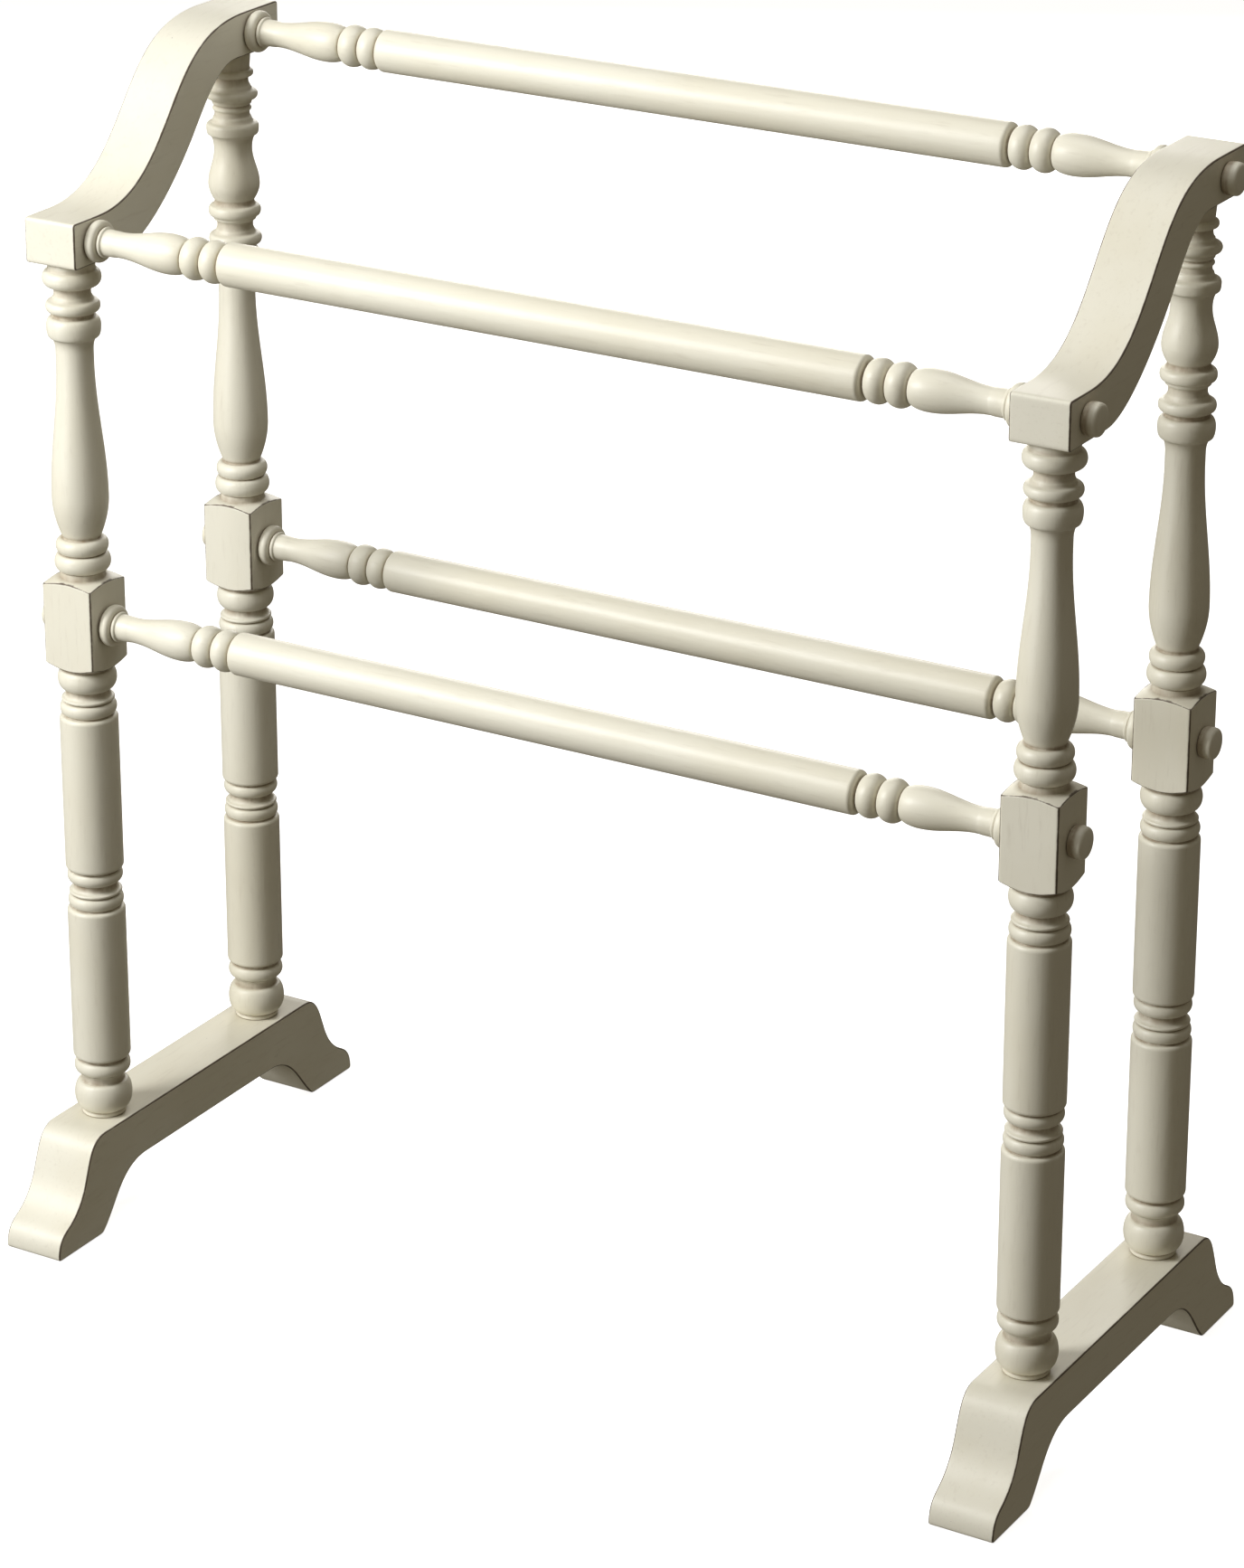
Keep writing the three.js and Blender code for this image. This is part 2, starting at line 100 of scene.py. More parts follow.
SIDES = (("left", -1), ("right", 1))
ENDS = ("front", "back")
RAIL_NAMES = ("upper_front", "upper_back", "lower_front", "lower_back")
ARM_FRONT_THICKNESS = 29.5  # of the arm over the front post, in millimetres
ARM_BACK_THICKNESS = 28.5
FOOT_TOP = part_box("left_foot")[1].z
arm_low, arm_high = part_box("left_arm")
ARM_BOTTOM = {"front": arm_low.z, "back": arm_high.z - ARM_BACK_THICKNESS * MM}
BLOCK_MIDDLE = middle("lower_front_rail").z
post_low, post_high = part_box("left_front_post")
HALF_STOCK = (post_high.x - post_low.x) / 2 / MM
rail_low, rail_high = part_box("lower_front_rail")
RAIL_RADIUS = (rail_high.z - rail_low.z) / 2 / MM
GAP = 0.3  # between a post and its foot or arm, in millimetres
print("half stock %.1f mm, rail radius %.1f mm" % (HALF_STOCK, RAIL_RADIUS))

# %% [markdown]
# ## Turning on a lathe
# A post is a square stick spun on a lathe, and each tool leaves a simple curve: a bead is a half round, a
# cove a hollow one, a vase a long S. One could revolve a hand-drawn curve with the Screw modifier. Here the
# curve is built cut by cut, in the order in which a turner works, because then every bead has a size that
# can be read and changed. Heights and radii are in millimetres, and a depth is measured below the stock.

# %% A lathe tool's path
FINE = 0.5  # distance between points of a turned profile, in millimetres
PAINT_FILL = 0.35  # how far paint rounds the sharp corners of a profile
HOLLOW_REACH = 3.2  # how wide a hollow still collects glaze and painted shade
HOLLOW_DEPTH = 1.3  # how deep a hollow is when glaze and painted shade fill it
LEAST_BEND = 0.05  # a point stays if the profile turns by this much there, in radians
LEAST_SAG = 0.02  # or if leaving it out would move the profile by about this much
LONGEST_STEP = 12  # or if the last kept point is this far back


class Turning:
    """The outline of a spindle, as radius against height, built upwards cut by cut."""

    def __init__(self, stock, height, depth):
        self.stock = stock
        self.path = [(height, stock - depth)]

    @property
    def height(self):
        return self.path[-1][0]

    def line(self, length, depth):
        self.path.append((self.height + length, self.stock - depth))
        return self

    def quarter(self, length, depth, square_first):
        height, radius = self.path[-1]
        steps = max(4, int(length / FINE))
        for i in range(1, steps + 1):
            angle = math.pi / 2 * i / steps
            across = math.sin(angle) if square_first else 1 - math.cos(angle)
            along = 1 - math.cos(angle) if square_first else math.sin(angle)
            new_radius = radius + (self.stock - depth - radius) * across
            self.path.append((height + length * along, new_radius))
        return self

    def round(self, length, peak, end, peak_at=0.5):
        self.quarter(length * peak_at, peak, True)
        return self.quarter(length * (1 - peak_at), end, False)

    def sweep(self, length, depth):
        height, radius = self.path[-1]
        steps = max(6, int(length / 2))
        for i in range(1, steps + 1):
            share = (1 - math.cos(math.pi * i / steps)) / 2
            new_radius = radius + (self.stock - depth - radius) * share
            self.path.append((height + length * i / steps, new_radius))
        return self

    def swell(self, length, depth):
        """The rounded bottom of a vase: it widens fast and then runs along the spindle."""
        height, radius = self.path[-1]
        steps = max(6, int(length))
        for i in range(1, steps + 1):
            across = math.sin(math.pi / 2 * i / steps) ** 0.85
            new_radius = radius + (self.stock - depth - radius) * across
            self.path.append((height + length * i / steps, new_radius))
        return self

    def ring(self, length, peak, end, foot=0.3):
        """A pointed bead between two small coves, each of them foot of the length."""
        cove = length * foot
        rim = length / 2 - cove
        middle_depth = (peak + end) / 2
        self.quarter(cove, middle_depth, False).quarter(rim, peak, True)
        return self.quarter(rim, middle_depth, False).quarter(cove, end, True)

    def barrel(self, length, shoulder, end):
        self.quarter(shoulder, 0.1, True)
        self.line(length - 2 * shoulder, 0.1)
        return self.quarter(shoulder, end, False)


print("a bead of 10 mm has", len(Turning(19, 0, 3).round(10, 0, 3).path), "points")

# %% [markdown]
# ## From a path to a painted outline
# Brushed paint fills sharp corners, and glaze and painted shade sit in the hollows. So the path is sampled
# evenly, smoothed by a fraction of a millimetre, and compared with a much smoother copy of itself: where it
# lies inside that copy, it is a hollow. Points on straight stretches are then dropped, which keeps the mesh
# light.

# %% Sample, soften and thin a profile
def blurred(values, reach):
    """Values at even steps, averaged with a bell curve that is reach millimetres wide."""
    count = max(1, int(3 * reach / FINE))
    offsets = np.arange(-count, count + 1) * FINE
    weights = np.exp(-((offsets / reach) ** 2) / 2)
    padded = np.pad(values, count, mode="edge")
    return np.convolve(padded, weights / weights.sum(), mode="valid")


def painted_outline(path, keep_beyond=1e9):
    """Heights, radii and hollowness (0 to 1) along a path. Points beyond a radius are all kept."""
    path = np.array(path)
    steps = np.hypot(*np.diff(path, axis=0).T)
    path = path[np.concatenate([[True], steps > 1e-6])]
    along = np.concatenate([[0], np.cumsum(np.hypot(*np.diff(path, axis=0).T))])
    even = np.linspace(0, along[-1], int(along[-1] / FINE) + 1)
    height = np.interp(even, along, path[:, 0])
    radius = np.interp(even, along, path[:, 1])
    height[1:-1] = blurred(height, PAINT_FILL)[1:-1]
    radius[1:-1] = blurred(radius, PAINT_FILL)[1:-1]
    hollow = np.clip((blurred(radius, HOLLOW_REACH) - radius) / HOLLOW_DEPTH, 0, 1)
    kept = [0]
    for i in range(1, len(even) - 1):
        before = np.array([height[i] - height[kept[-1]], radius[i] - radius[kept[-1]]])
        after = np.array([height[i + 1] - height[i], radius[i + 1] - radius[i]])
        bend = abs(before[0] * after[1] - before[1] * after[0])
        bend /= max(1e-9, np.linalg.norm(before) * np.linalg.norm(after))
        run = np.linalg.norm(before)
        straight = bend * run <= LEAST_SAG and bend <= LEAST_BEND and run <= LONGEST_STEP
        if not straight or radius[i] > keep_beyond:
            kept.append(i)
    kept.append(len(even) - 1)
    return height[kept], radius[kept], hollow[kept]


# %% [markdown]
# ## The turned posts
# All four posts share the same pattern up to the front arm: a ball and a bead on the foot, two plain
# barrels parted by a double bead, a ball, the square block that takes the lower rail, two soft rings, a
# tall vase and two more beads. The back posts go on with a small vase and three rings.

# %% The cuts of a post
POMMEL_BOTTOM = 3.8  # how far the block's faces reach below their corners, in the middle
POMMEL_TOP = 2.6  # and above them
CORNER_HEIGHT = 52.6  # of the block's upright edges
CORNER = 11.5  # beyond the block's corners, so that the stock alone shapes its faces
CORNER_START = 7.9  # where the cone at each end of the block meets the corners
CORNER_RUN = 2.0  # from there to beyond the corners
BASE_HEIGHT = 40.5  # from the foot to the first barrel
BASE_CUTS = 38.6  # what the cuts of the base take of it
MIDDLE_HEIGHT = 27.0  # between the barrels
MIDDLE_CUTS = 18.4  # what the cuts other than its upper bead take of it
BEFORE_BLOCK = 34.0  # from the second barrel to the block
BLOCK_TOP_ROOM = 5.3  # from the block to the first soft ring
UPPER_BEADS = 50.0  # from the top of the tall vase to the front arm
VASE_FLARE = 16.0  # the neck of the tall vase and its flare
GROOVE = 2.6
SHOULDER = 2.4  # of a barrel


def lip_and_neck(turning, lip, neck):
    """The crease, thin lip and hollow neck that stand over a bead."""
    turning.line(0.5, lip + 2.2).round(2.4, lip, lip + 0.6)
    return turning.quarter(4.4, neck, True).line(0.8, neck)


def turn_post(is_front):
    bottom = FOOT_TOP / MM + GAP
    arm = ARM_BOTTOM["front" if is_front else "back"] / MM
    front_arm = ARM_BOTTOM["front"] / MM
    block_bottom = BLOCK_MIDDLE / MM - CORNER_HEIGHT / 2 - POMMEL_BOTTOM
    barrels = block_bottom - BEFORE_BLOCK - bottom - BASE_HEIGHT - MIDDLE_HEIGHT
    post = Turning(HALF_STOCK, bottom, 4.6)
    # foot ring, ball, neck and bead
    post.line(1.2, 4.6).line(2.0, 5.4).round(19.6, 0.0, 4.0, 0.52).line(0.3, 5.0)
    post.quarter(2.6, 5.2, True).quarter(3.2, 3.4, False).line(0.3, 4.4)
    post.round(9.4, 0.5, 3.2).line(BASE_HEIGHT - BASE_CUTS, 3.2)
    # two barrels with a double bead between them
    post.barrel(barrels / 2, SHOULDER, GROOVE)
    post.line(0.9, 3.4).round(8.3, 0.9, 3.8)
    lip_and_neck(post, 1.6, 5.4)
    post.line(0.2, 5.2).round(MIDDLE_HEIGHT - MIDDLE_CUTS, 0.9, 3.2, 0.55).line(0.9, 3.2)
    post.barrel(barrels / 2, SHOULDER, GROOVE)
    # double bead and ball under the block
    post.line(0.9, 3.4).round(8.6, 0.7, 3.8)
    lip_and_neck(post, 1.8, 5.2)
    post.line(0.2, 5.0).round(14.0, 0.0, 3.2, 0.54).line(block_bottom - post.height, 3.4)
    # the square block: a cone at each end, which the square stock cuts into curved corners
    post.line(0.0, 0.2).line(POMMEL_BOTTOM, -CORNER_START).line(CORNER_RUN, -CORNER)
    post.line(CORNER_HEIGHT - 2 * CORNER_RUN, -CORNER).line(CORNER_RUN, -CORNER_START)
    post.line(POMMEL_TOP, 0.2)
    post.line(1.4, 4.4).line(BLOCK_TOP_ROOM - 1.4, 4.8)
    # two soft rings
    post.line(0.1, 5.4).round(11.8, 1.0, 4.6).line(0.3, 5.2).round(9.8, 2.1, 6.4).line(0.6, 7.0)
    # tall vase: an egg below, a slim neck above that flares into a bead
    vase_top = front_arm - UPPER_BEADS
    post.swell(27.0, 0.9).sweep(vase_top - VASE_FLARE - post.height, 7.0).line(7.0, 7.0)
    post.quarter(9.0, 3.8, False)
    # two beads and a neck
    post.quarter(7.2, 1.7, True).quarter(6.2, 5.0, False)
    post.line(0.6, 6.0).ring(12.6, 1.7, 6.4, 0.22)
    post.quarter(2.6, 7.3, True).line(1.0, 7.3).quarter(2.8, 5.8, False)
    if is_front:
        post.line(0.2, 5.0).round(10.6, 0.4, 3.6).line(1.0, 4.0)
        return post.line(arm - GAP - post.height, 4.0)
    post.line(0.2, 5.2).ring(12.0, 1.9, 6.0, 0.2).line(1.0, 6.2)
    # small vase, which flares straight into the first ring
    post.swell(11.0, 2.2).sweep(23.0, 6.6).quarter(10.0, 3.0, False)
    post.quarter(5.2, 1.9, True).quarter(2.6, 4.0, False).quarter(3.6, 6.4, True).line(0.4, 7.0)
    # two more rings parted by necks
    post.quarter(2.8, 7.6, True).line(1.2, 7.6).round(2.6, 6.2, 7.2).line(0.8, 7.6)
    post.quarter(1.2, 6.2, False).ring(12.0, 2.1, 6.6, 0.26).quarter(4.0, 8.0, True)
    post.line(0.8, 8.0).ring(7.0, 4.6, 7.0, 0.2)
    return post.line(arm - GAP - post.height, 6.0)


front_turning = turn_post(True)
back_turning = turn_post(False)
print("the front post ends at %.1f mm" % front_turning.height)
print("the back post ends at %.1f mm" % back_turning.height)

# %% [markdown]
# ## Spinning the outline into a mesh
# A round spindle needs only a ring of points per height. The block is different: its rings follow the
# square stock, so each point takes the smaller of the lathe's radius and the distance to the square. That
# is what happens on a real lathe, and it draws the curved corners of the block by itself. The columns of
# points stand closer together near the corners, where the stock's edge is softened.

# %% Ring angles and the square stock
EASE = 1.9  # radius of the block's softened upright edges, in millimetres
CURVED_EASE = 1.3  # and how far its curved corners are softened
ROUND_COLUMNS = 96  # points round a rail
CAP_COLUMNS = 64  # and round a cap


def square_columns():
    """Angles round the post, closer together near the four corners."""
    past_corner = [0.5, 1.1, 1.6, 2.2, 3, 4, 5.5, 8, 12]
    corner = [-a for a in reversed(past_corner)] + [0] + past_corner
    quarter = list(range(-30, 31, 5)) + [45 + a for a in corner]
    return np.array([math.radians(90 * q + a) for q in range(4) for a in quarter])


def square_radius(angles, half, ease):
    """Distance from the axis to a square with rounded corners."""
    folded = np.abs((angles + math.pi / 4) % (math.pi / 2) - math.pi / 4)
    straight = half / np.cos(folded)
    centre = half - ease
    away = centre * math.sqrt(2)
    between = math.pi / 4 - folded
    reach = away * np.cos(between)
    inside = np.maximum(ease**2 - (away * np.sin(between)) ** 2, 0)
    rounded = reach + np.sqrt(inside)
    on_corner = folded > math.atan2(centre, half)
    return np.where(on_corner, np.minimum(straight, rounded), straight)


def softer_minimum(a, b, width):
    """The smaller of two values, blended over a width where they meet."""
    h = np.clip(0.5 + 0.5 * (b - a) / width, 0, 1)
    return b * (1 - h) + a * h - width * h * (1 - h)


print(len(square_columns()), "columns round a post")

# %% A mesh of rings
def link_mesh(name, points, faces, attributes):
    """A smooth mesh object with float attributes on its points."""
    mesh = bpy.data.meshes.new(name)
    mesh.from_pydata([tuple(p) for p in points], [], faces)
    for key, values in attributes.items():
        kind = "FLOAT_VECTOR" if values.ndim == 2 else "FLOAT"
        layer = mesh.attributes.new(key, kind, "POINT")
        field = "vector" if values.ndim == 2 else "value"
        layer.data.foreach_set(field, values.astype(np.float32).ravel())
    mesh.shade_smooth()
    mesh.validate()
    made = bpy.data.objects.new(name, mesh)
    bpy.context.scene.collection.objects.link(made)
    return made


def ring_faces(rows, columns):
    faces = []
    for i in range(rows - 1):
        for j in range(columns):
            k = (j + 1) % columns
            low, high = i * columns, (i + 1) * columns
            faces.append((low + j, low + k, high + k, high + j))
    faces.append(tuple(range(columns - 1, -1, -1)))
    faces.append(tuple(range((rows - 1) * columns, rows * columns)))
    return faces


print("rings ready")

# %% Finish a piece
def grain_place(across_1, across_2, along, seed):
    """Coordinates with the grain along the third one, moved so that no two pieces share a pattern."""
    shift = np.random.default_rng(seed).uniform(-5, 5, 3)
    return np.stack([across_1, across_2, along], 1) + shift


def take_place(piece, node):
    """A fine piece stands for its CAD node, on the one rigid body."""
    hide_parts(node)
    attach(piece, "root")
    return piece


frame_slots = {part["node"]: part["material_slot"] for part in frame["record"]["subparts"]}
print(len(frame_slots), "nodes have a finish")

# %% Spin the posts
BLOCK_MARGIN = 8  # the rings this far above and below the block's corners follow the stock too
WORN_CORNER = 0.9  # half width of the rubbed line on an upright edge
WORN_CURVE = 1.1  # and on a curved corner


def spin_post(name, node, turning, seed):
    centre = middle(node)
    from_block_middle = CORNER_HEIGHT / 2 + BLOCK_MARGIN
    block_low = BLOCK_MIDDLE / MM - from_block_middle
    block_high = BLOCK_MIDDLE / MM + from_block_middle
    height, radius, hollow = painted_outline(turning.path, keep_beyond=HALF_STOCK + 0.2)
    angles = square_columns()
    stock = square_radius(angles, HALF_STOCK, EASE)
    rings = np.repeat(radius[:, None], len(angles), axis=1)
    in_block = (height > block_low) & (height < block_high)
    rings[in_block] = softer_minimum(radius[in_block, None], stock[None, :], CURVED_EASE)
    # brown edges: the upright corners of the block, and where its cones meet its faces
    folded = np.abs((angles + math.pi / 4) % (math.pi / 2) - math.pi / 4)
    from_corner = (math.pi / 4 - folded) * HALF_STOCK * math.sqrt(2)
    beyond = radius[:, None] - stock[None, :]
    upright = np.exp(-((from_corner / WORN_CORNER) ** 2))[None, :] * (beyond > 0)
    meeting = np.exp(-((beyond / WORN_CURVE) ** 2))
    worn = np.maximum(upright, meeting) * in_block[:, None]
    rows = len(height)
    x = (rings * np.cos(angles)).ravel() * MM
    y = (rings * np.sin(angles)).ravel() * MM
    z = np.repeat(height, len(angles)) * MM
    points = np.stack([x + centre.x, y + centre.y, z], 1)
    spread = {
        "hollow": np.repeat(hollow, len(angles)),
        "worn_edge": worn.ravel(),
        "grain_place": grain_place(x, y, z, seed),
    }
    post = link_mesh(name, points, ring_faces(rows, len(angles)), spread)
    return take_place(post, node)


posts = []
for side, _ in SIDES:
    for end, turning in (("front", front_turning), ("back", back_turning)):
        node = side + "_" + end + "_post"
        posts.append(spin_post("turned_" + node, node, turning, 10 + len(posts)))
print([len(p.data.vertices) for p in posts], "points in the posts")

# %% [markdown]
# ## The turned rails
# A rail lies on its side, but it was turned like a post. Both ends are the same: a collar that meets the
# post or arm, a slim neck, a bulb, and two beads between three narrow grooves. Only one end is written
# down. The other end is the same path read backwards.

# %% The cuts of a rail
RAIL_END = 98.9  # from the face of the post to the plain middle of the rail


def turn_rail(half):
    rail = Turning(RAIL_RADIUS, -half, 3.4)
    rail.quarter(2.6, 0.3, True).line(1.6, 0.3).quarter(2.8, 3.0, False).line(0.3, 5.4)
    rail.round(2.6, 3.8, 4.4).line(0.2, 5.2).quarter(9.0, 5.6, False).line(1.5, 5.6)
    rail.sweep(37.0, 1.0).quarter(12.0, 4.6, False)
    rail.line(0.3, 6.4).round(14.0, 0.2, 4.8).line(0.4, 6.6)
    rail.round(13.3, 0.2, 4.6).line(0.3, 6.0)
    rail.line(RAIL_END - half - rail.height, 4.2)
    rail.quarter(3.0, 0.0, True)
    first = list(rail.path)
    rail.path += [(-height, radius) for height, radius in reversed(first)]
    return rail


def spin_rail(name, node, seed):
    centre = middle(node)
    inner_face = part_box("right_front_post")[0].x
    turning = turn_rail(inner_face / MM - GAP)
    along, radius, hollow = painted_outline(turning.path)
    angles = np.linspace(0, 2 * math.pi, ROUND_COLUMNS, endpoint=False)
    y = np.outer(radius, np.cos(angles)).ravel() * MM
    z = np.outer(radius, np.sin(angles)).ravel() * MM
    x = np.repeat(along, len(angles)) * MM
    points = np.stack([x, y + centre.y, z + centre.z], 1)
    spread = {
        "hollow": np.repeat(hollow, len(angles)),
        "worn_edge": np.zeros(len(x)),
        "grain_place": grain_place(y, z, x, seed),
    }
    rail = link_mesh(name, points, ring_faces(len(along), len(angles)), spread)
    return take_place(rail, node)


rails = []
for number, rail_name in enumerate(RAIL_NAMES):
    node = rail_name + "_rail"
    rails.append(spin_rail("turned_" + node, node, 20 + number))
print([len(r.data.vertices) for r in rails], "points in the rails")

# %% [markdown]
# ## Sawn boards
# The feet and arms are band-sawn from flat boards and then sanded. Each is an outline in the Y-Z plane
# with some thickness across X. An extrusion with a Bevel modifier would do it, but the brown line along
# the edges has to know where the edge is. So the rounded edge is built as rings of points, and the rings
# carry that knowledge as an attribute.

# %% Draw an outline from lines and curves
def curve(start, pull_1, pull_2, end, steps=24):
    """Points of a Bezier curve, without its start."""
    share = np.linspace(0, 1, steps + 1)[1:, None]
    rest = 1 - share
    start, pull_1, pull_2, end = (np.array(p, float) for p in (start, pull_1, pull_2, end))
    found = rest**3 * start + 3 * rest**2 * share * pull_1
    return found + 3 * rest * share**2 * pull_2 + share**3 * end


def even_loop(points, step):
    """A closed outline sampled at even steps that still hits each of its sharp corners."""
    points = np.array(points, float)
    after = np.roll(points, -1, axis=0)
    loop = []
    for a, b in zip(points, after):
        count = max(1, round(float(np.linalg.norm(b - a)) / step))
        loop += [a + (b - a) * i / count for i in range(count)]
    return np.array(loop)


def sanded(points, reach, passes=2):
    """The outline with its corners rounded off over about a reach, by averaging along it."""
    step = 0.8
    loop = even_loop(points, step)
    count = max(1, round(reach / step))
    for _ in range(passes):
        total = sum(np.roll(loop, k, axis=0) for k in range(-count, count + 1))
        loop = total / (2 * count + 1)
    return loop


# %% Give an outline its thickness
BOARD_EDGE = 1.1  # radius of the sanded edges
FLAT_START = 2.4  # where the flat part of the sawn edge begins, in edge radii


def doubled_area(loop):
    """Twice the area inside an outline, positive if it runs against the clock."""
    after = np.roll(loop, -1, axis=0)
    return np.sum(loop[:, 0] * after[:, 1] - after[:, 0] * loop[:, 1])


def outward_normals(loop):
    ahead = np.roll(loop, -1, axis=0) - np.roll(loop, 1, axis=0)
    ahead /= np.linalg.norm(ahead, axis=1)[:, None]
    turned_right = np.stack([ahead[:, 1], -ahead[:, 0]], 1)
    return turned_right if doubled_area(loop) > 0 else -turned_right


def saw_board(name, loop, width, centre_x, seed):
    """A board with two flat sides and rounded edges. Its outline and width are in millimetres."""
    normals = outward_normals(loop)
    half = width / 2
    rings = []
    for angle in np.radians([90, 67, 45, 22, 0]):
        inset = BOARD_EDGE * (1 - math.cos(angle))
        rings.append((half - BOARD_EDGE * (1 - math.sin(angle)), inset))
    rings.append((half - BOARD_EDGE * FLAT_START, 0.0))
    edge = [0.25, 0.9, 1.0, 0.9, 0.25, 0.0]
    spans = [(x, inset, worn) for (x, inset), worn in zip(rings, edge)]
    inner = [(x, 0.0, 0.0) for x in np.linspace(rings[-1][0], -rings[-1][0], 7)[1:-1]]
    spans = spans + inner + [(-x, inset, worn) for x, inset, worn in reversed(spans)]
    count = len(loop)
    points, worn_edge = [], []
    for x, inset, worn in spans:
        moved = loop - normals * inset
        points.append(np.column_stack([np.full(count, x), moved]))
        worn_edge.append(np.full(count, worn))
    local = np.concatenate(points) * MM
    faces = ring_faces(len(spans), count)
    if doubled_area(loop) > 0:
        faces = [tuple(reversed(face)) for face in faces]
    spread = {
        "hollow": np.zeros(len(local)),
        "worn_edge": np.concatenate(worn_edge),
        "grain_place": grain_place(local[:, 0], local[:, 2], local[:, 1], seed),
    }
    local[:, 0] += centre_x
    board = link_mesh(name, local, faces, spread)
    board.modifiers.new("flat sides", "WEIGHTED_NORMAL").weight = 100
    return board


print("boards ready")

# %% [markdown]
# ## The S-shaped arms
# An arm is flat over the low front post, swings up in a long S and ends flat over the back post. Its
# underside is flat as far as the front post's inner side, turns a soft corner there, and then follows the
# S at an even distance, so that the middle of the board looks equally thick all the way.

# %% Saw the arms
ARM_MIDDLE_THICKNESS = 32.0  # measured square to the S
SANDING = 1.4  # how far the corners of an outline are sanded off


def arm_outline():
    low, high = (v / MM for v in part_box("left_arm"))
    front, back, bottom, top = low.y, high.y, low.z, high.z
    front_top = bottom + ARM_FRONT_THICKNESS
    back_bottom = top - ARM_BACK_THICKNESS
    slope = np.array([0.62, 0.785])  # of the S in the middle of the arm
    crest = np.array([-4.0, (front_top + top) / 2 + 2.0])  # on its upper side, halfway up
    under = crest + np.array([slope[1], -slope[0]]) * ARM_MIDDLE_THICKNESS
    outline = [(front, bottom), (-60.0, bottom)]
    outline += list(curve((-60.0, bottom), (-34.0, bottom + 1), under - slope * 34, under))
    outline += list(curve(under, under + slope * 26, (50.0, back_bottom), (68.0, back_bottom)))
    outline += [(back, back_bottom), (back, top), (80.0, top)]
    outline += list(curve((80.0, top), (34.0, top), crest + slope * 34, crest))
    outline += list(curve(crest, crest - slope * 34, (-44.0, front_top), (-84.0, front_top)))
    outline += [(front, front_top)]
    return sanded(outline, SANDING)


arms = []
for side, sign in SIDES:
    node = side + "_arm"
    width = (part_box(node)[1].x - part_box(node)[0].x) / MM
    arm = saw_board("sawn_" + node, arm_outline(), width, middle(node).x, 30 + sign)
    arms.append(take_place(arm, node))
print("arm width %.1f mm, %d points" % (width, len(arms[0].data.vertices)))

# %% [markdown]
# ## The feet
# A foot is a low bridge on two toe pads. Each end drops from a rounded shoulder through a hollow to a
# toe. The underside is cut away between the pads. Under each post a round hole holds the head of the screw
# that goes up into the post. Only half of the outline is drawn; the other half is its mirror.

# %% Saw the feet
FOOT_THICKNESS = 32.5  # between the posts
TOE_RISE = 20.0  # height of the toe where its curve begins
SHOULDER_IN = 54  # from the tip of the toe to the flat top
PAD_LENGTH = 48  # of the flat pad under the toe
HOLE_RADIUS = 5.2
HOLE_DEPTH = 7


def foot_outline():
    low, high = (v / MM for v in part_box("left_foot"))
    tip, top = high.y, high.z
    under = top - FOOT_THICKNESS
    shoulder, pad = tip - SHOULDER_IN, tip - PAD_LENGTH
    waist = np.array([tip - 32, (top + TOE_RISE) / 2])
    half = [(0.0, top), (shoulder, top)]
    half += list(curve((shoulder, top), (shoulder + 14, top), waist + (-5, 13), waist))
    half += list(curve(waist, waist + (4, -12), (tip - 21, TOE_RISE + 5), (tip - 12, TOE_RISE)))
    toe = (tip - 4, TOE_RISE - 4), (tip, TOE_RISE * 0.6)
    half += list(curve((tip - 12, TOE_RISE), *toe, (tip, 0.0)))
    half += [(pad, 0.0)]
    half += list(curve((pad, 0.0), (pad - 16, 14), (pad - 22, under), (pad - 50, under)))
    half += [(0.0, under)]
    other = [(-y, z) for y, z in half[::-1][1:-1]]
    return sanded(half + other, SANDING)


def drill(piece, centre, radius, top):
    """A round hole from below, up to a height, by a boolean cut that is applied at once."""
    below = 20 * MM
    bpy.ops.mesh.primitive_cylinder_add(vertices=48, radius=radius, depth=top + below)
    cutter = bpy.context.object
    cutter.location = (centre.x, centre.y, (top - below) / 2)
    cut = piece.modifiers.new("hole", "BOOLEAN")
    cut.object = cutter
    cut.operation = "DIFFERENCE"
    bpy.context.view_layer.objects.active = piece
    bpy.ops.object.modifier_apply(modifier=cut.name)
    bpy.data.objects.remove(cutter)


feet = []
for side, sign in SIDES:
    node = side + "_foot"
    width = (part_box(node)[1].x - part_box(node)[0].x) / MM
    foot = saw_board("sawn_" + node, foot_outline(), width, middle(node).x, 40 + sign)
    hole_top = (FOOT_TOP / MM - FOOT_THICKNESS + HOLE_DEPTH) * MM
    for end in ENDS:
        drill(foot, middle(side + "_" + end + "_foot_screw"), HOLE_RADIUS * MM, hole_top)
    feet.append(take_place(foot, node))
print("foot width %.1f mm, %d points" % (width, len(feet[0].data.vertices)))
